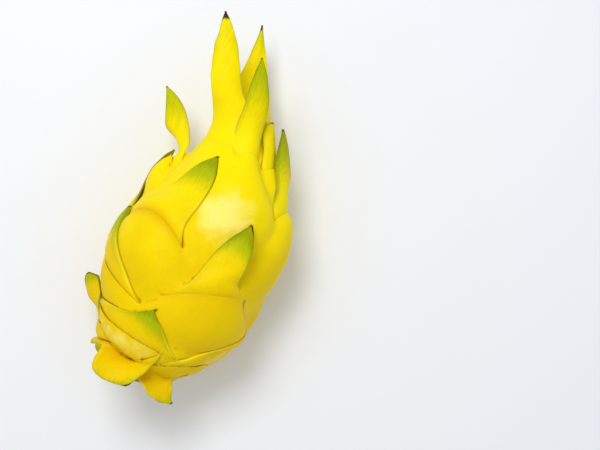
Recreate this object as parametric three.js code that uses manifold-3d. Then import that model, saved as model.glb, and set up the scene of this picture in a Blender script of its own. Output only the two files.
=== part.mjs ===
// A whole yellow dragon fruit as picked, lying on its side. Millimetres, +Z up.
// The origin is the middle of the small flat spot that it rests on. The long axis runs along Y, with the
// cut stem at -Y and the crown, where the flower was, at +Y.
// Angles round the fruit are in degrees from the top, positive towards +X.
import * as THREE from "three";
import { mergeVertices } from "three/addons/utils/BufferGeometryUtils.js";
import Module from "manifold-3d";

const { smoothstep, lerp, degToRad } = THREE.MathUtils;
const wasm = await Module();
wasm.setup();

// ---- Driving dimensions ----

const body = {
  radius: 39.5, // under the pads of the scales, at the widest ring
  flatness: 0.97, // height over width
  height: 39.2, // of the long axis above the surface
  widest: 3, // level of the widest ring along Y
  stemLength: 68, // from the widest ring to the stem end
  crownLength: 73, // from the widest ring to the lip of the crown
  neck: 11.5, // radius at the crown
  crownFullness: 1.6, // 1 is a cone-like taper, more is rounder
  sway: { crown: 4.5, stem: -10 }, // how far the long axis wanders along X
};
const stemHollow = { radius: 7.2, floor: -60.5, lip: -63.7 };
const crownHollow = { radius: 5.6, floor: 57, rim: 2.2 };
const spiral = { start: -52, step: 137.5 }; // the golden angle, from the crown down
const gap = 0.35; // between the rind and what sits in its hollows

// How a blade leaves its pad, how far it stands off what it lies on, and how thin it gets.
const joint = { creaseReach: 3, padLean: 0.3, standOff: 0.6 };
const edge = { thickness: 0.8, width: 0.5 };
const padSink = 5; // how deep a pad is rooted in the body

// Each scale: order is its place in the spiral from the crown, nudge turns it off the rule, root is the
// level of the crease where the blade leaves the pad, arch is how far the crease drops at its ends and slant
// how far it drops towards its +X end.
// Pad: length, width, rise, margin (height of its edge), tilt (its +X edge up).
// Blade: length, width, spread (width at the root over width), point (high is blunt), lean and sweep (more
// lean towards the tip), lift and curl (outward), release (share of its length by which it is free of the
// body), cling (1 lies on the body all along) and clingTurn (more cling at its +X margin), twist, and cup
// (radius across it).
const plain = {
  nudge: 0, padLength: 40, padWidth: 50, rise: 4, margin: -0.4, crease: 0.7, arch: 6, slant: 0, tilt: 0,
  length: 28, width: 16, spread: 2, flare: 4, point: 2.5, thickness: 3,
  lean: 0, sweep: 0, lift: 3, curl: 0, release: 0.32, cling: 0, clingTurn: 0, twist: 0, cup: 28, wave: 0,
  along: 9, across: 4,
};
const scales = [
  { order: 0, nudge: 35, root: 58, padLength: 32, padWidth: 34, rise: 3.5, crease: 0, arch: 2, length: 65,
    width: 12.5, spread: 3, point: 5, lean: -14, sweep: -8, lift: 34, curl: -12, twist: 20, cup: 13,
    wave: 0.8, release: 0.5, along: 18, across: 6 },
  { order: 1, nudge: -14, root: 54, padLength: 24, padWidth: 24, rise: 3.5, crease: 0, arch: 2, length: 23,
    width: 14, spread: 1.3, point: 14, lift: 6, cup: 8 },
  { order: 2, root: 60, padLength: 26, padWidth: 26, rise: 3, crease: 0, arch: 2, width: 13, spread: 1.5,
    point: 2.2, lift: 20, curl: 12, cup: 10 },
  { order: 3, nudge: 20, root: 56, padLength: 58, rise: 6, margin: -0.8, crease: 0, arch: 2, length: 46,
    width: 14.8, spread: 0.85, point: 3, lean: -10, sweep: -6, lift: 31, curl: -2, cup: 13, release: 0.6,
    along: 15, across: 6 },
  { order: 4, nudge: 52, root: 64, padLength: 26, padWidth: 26, rise: 3, crease: 0, arch: 2, length: 59,
    width: 48, spread: 1, point: 0.62, lean: -1.5, sweep: 14, lift: 26, curl: -8, cup: 18, wave: 0.4,
    along: 13 },
  { order: 5, nudge: -11, root: 43.5, padLength: 25, padWidth: 34, rise: 7.8, arch: 3, length: 34.5,
    width: 18, spread: 0.4, flare: 5, point: 2.2, lift: 31, curl: 42, twist: 76, cup: 16, along: 15,
    across: 6 },
  { order: 6, nudge: 26, root: 35, padLength: 50, padWidth: 52, rise: 6, crease: 1.6, length: 41, width: 18,
    spread: 1.4, lift: 9, curl: -4, twist: -22, cup: 14, along: 14, across: 6 },
  { order: 7, root: 40, padLength: 46, rise: 4.6 },
  { order: 8, nudge: -3.5, root: 16.5, padLength: 42, padWidth: 60, rise: 5.5, margin: -0.8, crease: 1,
    arch: 9.5, slant: 3, length: 38, width: 20.5, spread: 2.2, flare: 2.8, lean: 16, curl: -14, cup: 25,
    cling: 1, along: 16, across: 8 },
  { order: 9, nudge: 15, root: 4, padLength: 42, lift: -2 },
  { order: 10, nudge: 14, root: 14.5, padLength: 44, padWidth: 46, length: 36, thickness: 1.2, lift: -4,
    cling: 0.2 },
  { order: 11, nudge: 0.5, root: -11.5, padWidth: 80, rise: 5.5, margin: 0.9, crease: 0.5, arch: 3.3,
    slant: -4.7, tilt: 0.8, length: 36, width: 16.5, spread: 2.5, flare: 7, point: 4, lean: 12, lift: 9,
    curl: 4, cling: 0.5, clingTurn: -0.5, along: 16, across: 8 },
  { order: 12, nudge: 15, root: -4, length: 24, lift: -4 },
  { order: 13, nudge: 5, root: -15, padLength: 28, padWidth: 46, rise: 5, margin: 1, arch: 2, slant: 11,
    length: 33, width: 21, lean: -22, lift: 8, cling: 0.9, along: 12, across: 6 },
  { order: 14, nudge: 52, root: -18, padLength: 34, padWidth: 60, rise: 3.5, arch: 2, slant: -10, length: 18,
    spread: 1.6, point: 4, lift: -3, cling: 0.95 },
  { order: 15, root: -20, padLength: 34, padWidth: 46, length: 22, lift: -6 },
  { order: 16, nudge: -3, root: -40.5, padLength: 17, padWidth: 60, rise: 6.5, margin: 3, crease: 0,
    arch: 0.5, slant: 10.5, length: 17, width: 34, spread: 2.5, flare: 3, point: 1.2, lean: 15, lift: -14,
    cling: 0.55, clingTurn: -0.45, along: 12, across: 8 },
  { order: 17, root: -30, padLength: 28, padWidth: 46, length: 22 },
  { order: 18, nudge: 12, root: -41, padLength: 18, padWidth: 36, arch: 2, length: 23, width: 19, spread: 1.4,
    point: 7, lift: 0, curl: 10, twist: 42, cup: 14, along: 11, across: 6 },
  { order: 19, nudge: -16, root: -60.5, padLength: 4, padWidth: 28, rise: 1.5, arch: 1, length: 19, width: 40,
    spread: 0.9, point: 0.85, lean: 35, sweep: 25, lift: 62, curl: 50, cup: 16, wave: 0.8, along: 10,
    across: 6 },
  { order: 20, root: -46, padLength: 14, padWidth: 34, rise: 3, length: 16 },
  { order: 21, nudge: 25, root: -56.2, padLength: 6, padWidth: 36, rise: 2, arch: 3, slant: 9.5, length: 16.5,
    width: 38, spread: 1.1, point: 2.6, lean: 33, lift: 62, curl: 60, cup: 30, wave: 0.6, along: 10,
    across: 8 },
  { order: 22, nudge: -31, root: -45.5, padLength: 12, padWidth: 30, rise: 2.5, crease: 0, length: 24,
    width: 28, spread: 1.5, point: 3, lean: 30, lift: 6, cling: 1 },
  { order: 23, root: -57, padLength: 4, padWidth: 22, rise: 1.5, length: 13, width: 22, spread: 1.2, point: 3,
    lift: 50, curl: 30, cup: 14 },
  { order: 25, root: -59, padLength: 3, padWidth: 20, rise: 1, length: 12, width: 20, spread: 1.2, point: 3,
    lift: 60, curl: 20, cup: 12 },
  { order: 26, nudge: 2, root: -52, padLength: 8, padWidth: 30, rise: 2.5, arch: 1, length: 5.5, width: 24,
    spread: 1.1, point: 6, lift: 56, curl: 60, cup: 30, along: 10, across: 6 },
];

// ---- The body ----

function bodyRadius(y) {
  const along = y - body.widest;
  if (along < 0) return body.radius * Math.sqrt(Math.max(0, 1 - (along / body.stemLength) ** 2));
  const share = Math.min(along / body.crownLength, 1);
  return body.neck + (body.radius - body.neck) * Math.cos((share * Math.PI) / 2) ** body.crownFullness;
}

function bodySway(y) {
  return body.sway.crown * smoothstep(y, 2, 32) + body.sway.stem * smoothstep(-y, 26, 70);
}

// Slope of the body's outline, as the angle of its meridian to the long axis.
function bodySlope(y) {
  const step = 0.5;
  return Math.atan2(bodyRadius(y + step) - bodyRadius(y - step), 2 * step);
}

// A point of the body at level y and an angle in radians from the top, raised outwards.
function onBody(y, angle, raised = 0) {
  const slope = bodySlope(y);
  const radius = bodyRadius(y) + raised * Math.cos(slope);
  return new THREE.Vector3(
    bodySway(y) + radius * Math.sin(angle),
    y - raised * Math.sin(slope),
    body.height + body.flatness * radius * Math.cos(angle),
  );
}

function bodyGeometry() {
  const profile = [
    new THREE.Vector2(0, stemHollow.floor),
    new THREE.Vector2(stemHollow.radius, stemHollow.floor),
  ];
  const stemRings = 13;
  const lipAngle = Math.asin((stemHollow.lip - body.widest) / body.stemLength);
  for (let i = 0; i < stemRings; i++) {
    const y = body.widest + body.stemLength * Math.sin(lerp(lipAngle, 0, i / stemRings));
    profile.push(new THREE.Vector2(bodyRadius(y), y));
  }
  const crownRings = 16;
  for (let i = 0; i <= crownRings; i++) {
    const y = body.widest + (body.crownLength * i) / crownRings;
    profile.push(new THREE.Vector2(bodyRadius(y), y));
  }
  const lip = body.widest + body.crownLength;
  const { radius, floor, rim } = crownHollow;
  profile.push(
    new THREE.Vector2((body.neck + radius) / 2, lip + rim),
    new THREE.Vector2(radius, lip),
    new THREE.Vector2(radius * 0.8, (lip + floor) / 2),
    new THREE.Vector2(0, floor),
  );
  const geometry = new THREE.LatheGeometry(profile, 56);
  const point = new THREE.Vector3();
  const place = geometry.attributes.position;
  for (let i = 0; i < place.count; i++) {
    point.fromBufferAttribute(place, i);
    place.setXYZ(i, point.x + bodySway(point.y), point.y, body.height + body.flatness * point.z);
  }
  return geometry;
}

// ---- The scales ----

// Half the width of a scale at distance b along it, where b is 0 at the root and negative on the pad.
function halfWidth(s, b) {
  const root = s.width * s.spread;
  if (b <= 0) {
    const share = 1 + b / s.padLength;
    const round = Math.sqrt(1 - 0.92 * (1 - Math.min(1, share / 0.55)) ** 2);
    return 0.5 * lerp(s.padWidth, root, smoothstep(share, 0.4, 1)) * round;
  }
  const q = b / s.length;
  const flared = 1 + (s.spread - 1) * Math.exp(-s.flare * q);
  return Math.max(edge.width, 0.5 * s.width * flared * (1 - q ** s.point));
}

// Height of the pad's outer face above the body at distance b and share v of the half width.
function padHeight(s, b, v) {
  const share = Math.max(0, 1 + b / s.padLength);
  const swell = Math.sin((Math.PI / 2) * Math.min(1, share / 0.6));
  const dome = s.margin + (s.rise - s.margin) * (1 - Math.abs(v) ** 2.4) + s.tilt * v;
  const crease = s.crease * Math.exp(-((b / joint.creaseReach) ** 2));
  const buried = 1.6 * (1 - smoothstep(share, 0, 0.3));
  return dome * swell - crease - buried;
}

// One scale as a closed solid: a box of 2 x 1 x 1, with every point moved to its place on the pad or blade.
function scaleGeometry(given) {
  const s = { ...plain, ...given };
  const turn = degToRad(spiral.start + s.order * spiral.step + s.nudge);
  const lean = degToRad(s.lean);
  const out = new THREE.Vector3(Math.sin(turn), 0, Math.cos(turn));
  const along = new THREE.Vector3(0, 1, 0);
  const rootSlope = bodySlope(s.root);

  function creaseDrop(q, v) {
    return (s.arch * v * v + s.slant * v) * (1 - smoothstep(q, 0, 0.7));
  }

  // The scale's own line drawn on the body, by level and angle.
  function follow(b, v, raised) {
    let y = s.root;
    let angle = turn;
    const steps = 24;
    const dropped = b - creaseDrop(Math.max(0, b / s.length), v);
    const sideways = Math.sin(lean) * (b < 0 ? joint.padLean : 1);
    for (let i = 0; i < steps; i++) {
      y += (dropped / steps) * Math.cos(bodySlope(y)) * Math.cos(lean);
      y = THREE.MathUtils.clamp(y, stemHollow.lip, body.widest + body.crownLength);
      angle += ((dropped / steps) * sideways) / Math.max(bodyRadius(y), 8);
    }
    const spread = (v * halfWidth(s, b)) / Math.max(bodyRadius(y), 8);
    return onBody(y, angle + THREE.MathUtils.clamp(spread, -1.3, 1.3), raised);
  }

  // The blade in the air: its line leaves at the root by lift and bends by curl.
  const start = onBody(s.root, turn, s.rise - s.crease);
  function free(b, v, sunk) {
    const at = start.clone();
    const steps = 24;
    const heading = new THREE.Vector3();
    let angle = rootSlope;
    for (let i = 0; i < steps; i++) {
      const q = Math.max(0, (b * (i + 0.5)) / steps / s.length);
      angle = rootSlope + degToRad(s.lift + s.curl * q);
      heading.copy(along).multiplyScalar(Math.cos(angle)).addScaledVector(out, Math.sin(angle));
      heading.applyAxisAngle(normalOf(angle), -lean - degToRad(s.sweep) * q);
      at.addScaledVector(heading, b / steps);
    }
    const q = Math.max(0, b / s.length);
    const normal = normalOf(angle).applyAxisAngle(heading, degToRad(s.twist) * smoothstep(q, 0.05, 0.5));
    const side = new THREE.Vector3().crossVectors(heading, normal).normalize();
    const radius = lerp(Math.max(bodyRadius(s.root), 10), s.cup, smoothstep(q, 0, 0.5));
    const turned = (v * halfWidth(s, b)) / radius;
    const droop = (s.rise - s.margin) * Math.abs(v) ** 2.4 * (1 - smoothstep(q, 0, 0.5));
    const wave = s.wave * v * v * Math.sin(21 * q + 2 * v + s.order) * smoothstep(q, 0.1, 0.4);
    at.addScaledVector(heading, -creaseDrop(q, v));
    at.addScaledVector(side, radius * Math.sin(turned));
    at.addScaledVector(normal, radius * (Math.cos(turned) - 1) - droop + s.tilt * v + wave - sunk);
    return at;
  }

  function normalOf(angle) {
    return out.clone().multiplyScalar(Math.cos(angle)).addScaledVector(along, -Math.sin(angle));
  }

  const geometry = new THREE.BoxGeometry(2, 1, 1, s.across, s.along, 1);
  const place = geometry.attributes.position;
  for (let i = 0; i < place.count; i++) {
    const v = place.getX(i);
    const inner = place.getZ(i) < 0;
    const b = lerp(-s.padLength, s.length, place.getY(i) + 0.5);
    const q = Math.max(0, b / s.length);
    const thickness = Math.max(edge.thickness, s.thickness * (1 - 0.7 * v * v) * (1 - 0.5 * q));
    const cling = s.cling === 0 ? 0 : THREE.MathUtils.clamp(s.cling + s.clingTurn * v, 0, 1);
    const released = (1 - cling) * smoothstep(q, 0, inner ? s.release / 2 : s.release);
    const lying = s.rise + joint.standOff;
    const height = lerp(padHeight(s, b, v), lying, cling * smoothstep(q, 0.05, 0.45));
    const kept = follow(b, v, inner ? -padSink : height);
    const freed = free(b, v, inner ? thickness : 0);
    const point = kept.lerp(freed, released);
    place.setXYZ(i, point.x, point.y, point.z);
  }
  splitAlike(geometry);
  return geometry;
}

// The box's inner face is split into triangles along its other diagonals, so that both faces of a blade are
// alike.
function splitAlike(geometry) {
  const innerFace = geometry.groups[5];
  const index = geometry.index;
  for (let i = innerFace.start; i < innerFace.start + innerFace.count; i += 6) {
    const [a, b, d, c] = [0, 1, 2, 4].map((k) => index.getX(i + k));
    [a, b, c, a, c, d].forEach((corner, k) => index.setX(i + k, corner));
  }
}

// ---- What sits in the two hollows ----

function flowerRemnantGeometry() {
  const lip = body.widest + body.crownLength;
  const throat = crownHollow.radius * 0.72 - gap;
  const profile = [
    [0, crownHollow.floor + 3],
    [1.6, crownHollow.floor + 3.4],
    [throat - 1.2, crownHollow.floor + 7],
    [throat - 0.3, lip - 6],
    [throat, lip - 1],
    [throat + 0.6, lip + 3],
    [throat - 0.6, lip + 7],
    [1.8, lip + 10],
    [0, lip + 9],
  ].map(([r, y]) => new THREE.Vector2(r, y));
  const geometry = new THREE.LatheGeometry(profile, 20);
  const place = geometry.attributes.position;
  const folds = { count: 5, depth: 0.28, shiver: 1.7 };
  for (let i = 0; i < place.count; i++) {
    const [x, y, z] = [place.getX(i), place.getY(i), place.getZ(i)];
    const angle = Math.atan2(z, x);
    const shrink = 1 - folds.depth * (0.5 + 0.5 * Math.sin(folds.count * angle + folds.shiver * y));
    place.setXYZ(i, bodySway(y) + x * shrink, y, body.height + body.flatness * z * shrink);
  }
  return geometry;
}

function stemStubGeometry() {
  const reach = {
    inside: stemHollow.floor - gap,
    end: stemHollow.floor - 6.5,
    radius: stemHollow.radius - gap - 0.3,
  };
  const profile = [
    [0, reach.end + 0.8],
    [reach.radius * 0.45, reach.end + 0.5],
    [reach.radius * 0.85, reach.end],
    [reach.radius * 0.95, reach.end + 0.9],
    [reach.radius * 0.86, reach.end + 3.2],
    [reach.radius * 0.9, reach.inside],
    [0, reach.inside],
  ].map(([r, y]) => new THREE.Vector2(r, y));
  const geometry = new THREE.LatheGeometry(profile, 24);
  const place = geometry.attributes.position;
  for (let i = 0; i < place.count; i++) {
    const [x, y, z] = [place.getX(i), place.getY(i), place.getZ(i)];
    const ribs = 1 - 0.09 * (0.5 + 0.5 * Math.cos(3 * Math.atan2(z, x)));
    place.setXYZ(i, bodySway(stemHollow.floor) + x * ribs, y, body.height + body.flatness * z * ribs);
  }
  return geometry;
}

// ---- Joining and cutting ----

function solidOf(geometry) {
  const bare = geometry.clone();
  bare.deleteAttribute("normal");
  bare.deleteAttribute("uv");
  const merged = mergeVertices(bare, 1e-4);
  const vertProperties = new Float32Array(merged.attributes.position.array);
  const triVerts = new Uint32Array(merged.index.array);
  return new wasm.Manifold(new wasm.Mesh({ numProp: 3, vertProperties, triVerts }));
}

function geometryOf(solid) {
  const mesh = solid.getMesh();
  const geometry = new THREE.BufferGeometry();
  geometry.setAttribute("position", new THREE.BufferAttribute(new Float32Array(mesh.vertProperties), 3));
  geometry.setIndex(new THREE.BufferAttribute(new Uint32Array(mesh.triVerts), 1));
  geometry.computeVertexNormals();
  return geometry;
}

// Everything below the surface that the fruit lies on.
function belowSurface() {
  const slab = new THREE.BoxGeometry(300, 400, 60);
  slab.translate(0, 0, -30);
  return solidOf(slab);
}

function fruitGeometry() {
  let fruit = solidOf(bodyGeometry());
  for (const scale of scales) fruit = fruit.add(solidOf(scaleGeometry(scale)));
  return geometryOf(fruit.subtract(belowSurface()));
}

// ---- The part ----

const rind = new THREE.MeshStandardMaterial({ color: 0xf2cf08, roughness: 0.42, metalness: 0 });
const witheredFlower = new THREE.MeshStandardMaterial({ color: 0x6b4226, roughness: 0.9, metalness: 0 });
const cutStem = new THREE.MeshStandardMaterial({ color: 0xa58a54, roughness: 0.85, metalness: 0 });

function named(name, geometry, material) {
  const mesh = new THREE.Mesh(geometry, material);
  mesh.name = name;
  return mesh;
}

const dragonFruit = new THREE.Group();
dragonFruit.add(
  named("fruit", fruitGeometry(), rind),
  named("flower_remnant", flowerRemnantGeometry(), witheredFlower),
  named("stem_stub", stemStubGeometry(), cutStem),
);

export default dragonFruit;
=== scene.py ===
import math

import bpy
import numpy as np
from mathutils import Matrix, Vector, noise


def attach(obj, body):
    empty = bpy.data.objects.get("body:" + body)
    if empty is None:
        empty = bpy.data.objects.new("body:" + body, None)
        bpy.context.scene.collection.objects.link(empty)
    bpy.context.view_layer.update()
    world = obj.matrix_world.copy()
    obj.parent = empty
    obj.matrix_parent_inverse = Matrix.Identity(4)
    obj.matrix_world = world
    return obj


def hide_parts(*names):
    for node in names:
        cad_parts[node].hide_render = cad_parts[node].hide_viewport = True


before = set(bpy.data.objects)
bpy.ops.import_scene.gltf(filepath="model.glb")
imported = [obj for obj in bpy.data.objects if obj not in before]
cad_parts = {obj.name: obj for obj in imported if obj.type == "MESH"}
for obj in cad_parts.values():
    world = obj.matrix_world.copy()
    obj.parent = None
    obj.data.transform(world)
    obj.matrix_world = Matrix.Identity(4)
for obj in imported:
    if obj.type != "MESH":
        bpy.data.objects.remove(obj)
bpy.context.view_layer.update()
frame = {"nodes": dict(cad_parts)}
print("frame loaded:", ", ".join(frame["nodes"]))

# Metres and degrees throughout. The fruit lies along Y with its crown at +Y, and angles round it are
# counted from the top, towards +X.


def ease(x, low, high):
    share = np.clip((x - low) / (high - low), 0, 1)
    return share * share * (3 - 2 * share)


# 1 at 0, falling away on both sides over about reach.
def bell(x, reach):
    return np.exp(-((x / reach) ** 2))


def deselectAll():
    if bpy.context.mode != "OBJECT":
        bpy.ops.object.mode_set(mode="OBJECT")
    bpy.ops.object.select_all(action="DESELECT")


def only(piece):
    deselectAll()
    piece.select_set(True)
    bpy.context.view_layer.objects.active = piece


def editAll(piece):
    only(piece)
    bpy.ops.object.mode_set(mode="EDIT")
    bpy.ops.mesh.select_all(action="SELECT")


def faceOutwards(piece):
    editAll(piece)
    bpy.ops.mesh.normals_make_consistent(inside=False)
    bpy.ops.object.mode_set(mode="OBJECT")


def shadeSmooth(piece):
    only(piece)
    bpy.ops.object.shade_smooth()


def applyModifier(piece, kind, **settings):
    only(piece)
    modifier = piece.modifiers.new(kind.title(), kind)
    for name, value in settings.items():
        setattr(modifier, name, value)
    bpy.ops.object.modifier_apply(modifier=modifier.name)


def pointsOf(piece):
    flat = np.empty(len(piece.data.vertices) * 3)
    piece.data.vertices.foreach_get("co", flat)
    return flat.reshape(-1, 3)


def movePoints(piece, points):
    piece.data.vertices.foreach_set("co", np.ascontiguousarray(points).ravel())
    piece.data.update()


# A flat slab of two grids, with each point's place across it (-1 to 1), along it (0 to 1) and on which side
# it is.
def newSlab(columns, rows):
    bpy.ops.mesh.primitive_grid_add(x_subdivisions=columns, y_subdivisions=rows, size=2)
    bpy.ops.object.mode_set(mode="EDIT")
    bpy.ops.mesh.extrude_region_move(TRANSFORM_OT_translate={"value": (0, 0, -1)})
    bpy.ops.object.mode_set(mode="OBJECT")
    slab = bpy.context.object
    points = pointsOf(slab)
    return slab, points[:, 0], (points[:, 1] + 1) / 2, points[:, 2] < -0.5


# Up to three values for each vertex, which the materials read by the layer's name. The fourth only tells
# painted vertices from those that a union makes.
painted = 0.5


def paint(piece, layer, *values):
    colours = np.full((len(piece.data.vertices), 4), painted)
    for channel, value in enumerate(values):
        colours[:, channel] = value
    attribute = piece.data.color_attributes.get(layer)
    if attribute is None:
        attribute = piece.data.color_attributes.new(layer, "FLOAT_COLOR", "POINT")
    attribute.data.foreach_set("color", colours.ravel())


# The body is an egg with a neck at its crown and a hollow at each end. Its axis bends sideways towards the
# ends.
body = {
    "radius": 0.0395, "flatness": 0.97, "height": 0.0392,
    "widest": 0.003, "stemLength": 0.068, "crownLength": 0.073,
    "neck": 0.0115, "crownFullness": 1.6,
    "crownSway": 0.0045, "crownBend": (0.002, 0.032), "stemSway": -0.010, "stemBend": (0.026, 0.070),
    "stemHollow": {"radius": 0.0072, "floor": -0.0605, "lip": -0.0637},
    "crownHollow": {"radius": 0.0056, "floor": 0.057, "rim": 0.0022, "waist": 0.8},
    "segments": 200, "rings": 170, "stemLevels": 30, "crownLevels": 40, "reliefFade": 0.01,
}
crownLip = body["widest"] + body["crownLength"]


def bodyRadius(y):
    along = np.asarray(y) - body["widest"]
    stemSide = body["radius"] * np.sqrt(np.clip(1 - (along / body["stemLength"]) ** 2, 0, 1))
    share = np.clip(along / body["crownLength"], 0, 1)
    narrowing = np.cos(share * math.pi / 2) ** body["crownFullness"]
    crownSide = body["neck"] + (body["radius"] - body["neck"]) * narrowing
    return np.where(along < 0, stemSide, crownSide)


def bodySway(y):
    return body["crownSway"] * ease(y, *body["crownBend"]) + body["stemSway"] * ease(-y, *body["stemBend"])


def bodySlope(y):
    step = 0.0005
    return np.arctan2(bodyRadius(y + step) - bodyRadius(y - step), 2 * step)


# Points at level y, a turn in radians from the top and a distance from the body's bent axis.
def roundAxis(y, turn, radius):
    up = body["height"] + body["flatness"] * radius * np.cos(turn)
    return np.stack([bodySway(y) + radius * np.sin(turn), y, up], axis=-1)


# Points at level y and a turn, raised outwards.
def onBody(y, turn, raised):
    slope = bodySlope(y)
    points = roundAxis(y, turn, bodyRadius(y) + raised * np.cos(slope))
    points[..., 1] -= raised * np.sin(slope)
    return points


spiral = {"start": -52, "step": 137.5}      # the golden angle, counted from the crown down

# How a blade and its pad meet, and how the pads meet each other.
joint = {
    "creaseReach": 0.003, "padLean": 0.3, "padSink": 0.005, "rootDepth": 0.006, "padFall": 0.010,
    "fallSlope": 0.4, "fallDepth": 0.003, "sinkSlope": 0.4, "blend": 0.0013,
    "leastRadius": 0.008, "widestShare": 1.6, "lineSamples": 400, "lineSpare": 0.02, "lowest": -0.002,
}

# The margins of the blades, and how their pads and faces taper.
margin = {"thickness": 0.0009, "width": 0.0004, "grip": 0.0016, "thinner": 0.7, "thinnerTip": 0.5}
padShape = {
    "taper": 0.92, "roundedOver": 0.55, "narrowsFrom": 0.4, "swollenAt": 0.6, "domePower": 2.4,
    "buried": 0.0016, "buriedOver": 0.3,
}

# Where the painted marks lie and how far they reach: the bloom with its painted highlight, the painted shade
# in the fold under a blade's root, the seams between pads with their partly painted shade, the painted shadow
# line at a pad's edge and the place where a root melts into its pad.
marks = {
    "bloomAndHighlightNarrow": 1.4, "foldAt": -0.0012, "foldReach": 0.0028, "seamReach": 0.0004, "seamFloor": -0.0005,
    "edgeAt": 1.01, "edgeReach": 0.0012, "edgeAlong": (-0.9, -0.4), "meltReach": 0.004, "scaleShare": 1.15,
}

# order is the scale's place in the spiral, nudge turns it from there, and root is the level of the crease
# where the blade leaves its pad. arch is how far the crease drops at its ends, slant how far it drops
# towards its +X end, and crease how deep it is. The pad has a length, a width, a rise, a margin (height of
# its edge), a step (steepness of its sides) and a tilt. The blade has a length, a width, spread (width at
# the root over width), flare (how soon the spread ends), point (high is blunt), lean and sweep (more lean
# towards the tip), lift and curl (outward), release (how soon it leaves its pad), cling (how closely it
# lies on its neighbours), clingTurn (more cling at its +X side), clearance (gap to them), twist, cup
# (radius across it), wave and ragged (of its margins). green and greenFrom tint the blade, rim tints its
# margins and brown withers its tip. fold paints shade in the fold under the root, seam darkens the seams,
# partly with their own lines and partly with painted shade, and edge paints a shadow line at the foot of the
# pad's edge. bloomAndHighlight whitens the pad, partly as its waxy bloom and partly as a painted highlight,
# over bloomAndHighlightReach about bloomAndHighlightAt, towards bloomAndHighlightSide.
plainScale = {
    "nudge": 0, "padLength": 0.04, "padWidth": 0.05, "rise": 0.004, "margin": -0.0004, "crease": 0.0007,
    "arch": 0.006, "slant": 0, "step": 0, "tilt": 0, "length": 0.028, "width": 0.016, "spread": 2,
    "flare": 4, "point": 2.5, "thickness": 0.003, "lean": 0, "sweep": 0, "lift": 3, "curl": 0,
    "release": 0.32, "cling": 0, "clingTurn": 0, "clearance": 0.0012, "twist": 0, "cup": 0.028, "wave": 0,
    "ragged": 0.03, "green": 0.7, "greenFrom": 0.3, "rim": 0.15, "brown": 0.012, "fold": 0.3, "seam": 0.25,
    "edge": 0, "bloomAndHighlight": 0.1, "bloomAndHighlightSide": 0, "bloomAndHighlightAt": -0.024, "bloomAndHighlightReach": 0.009,
}
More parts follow.
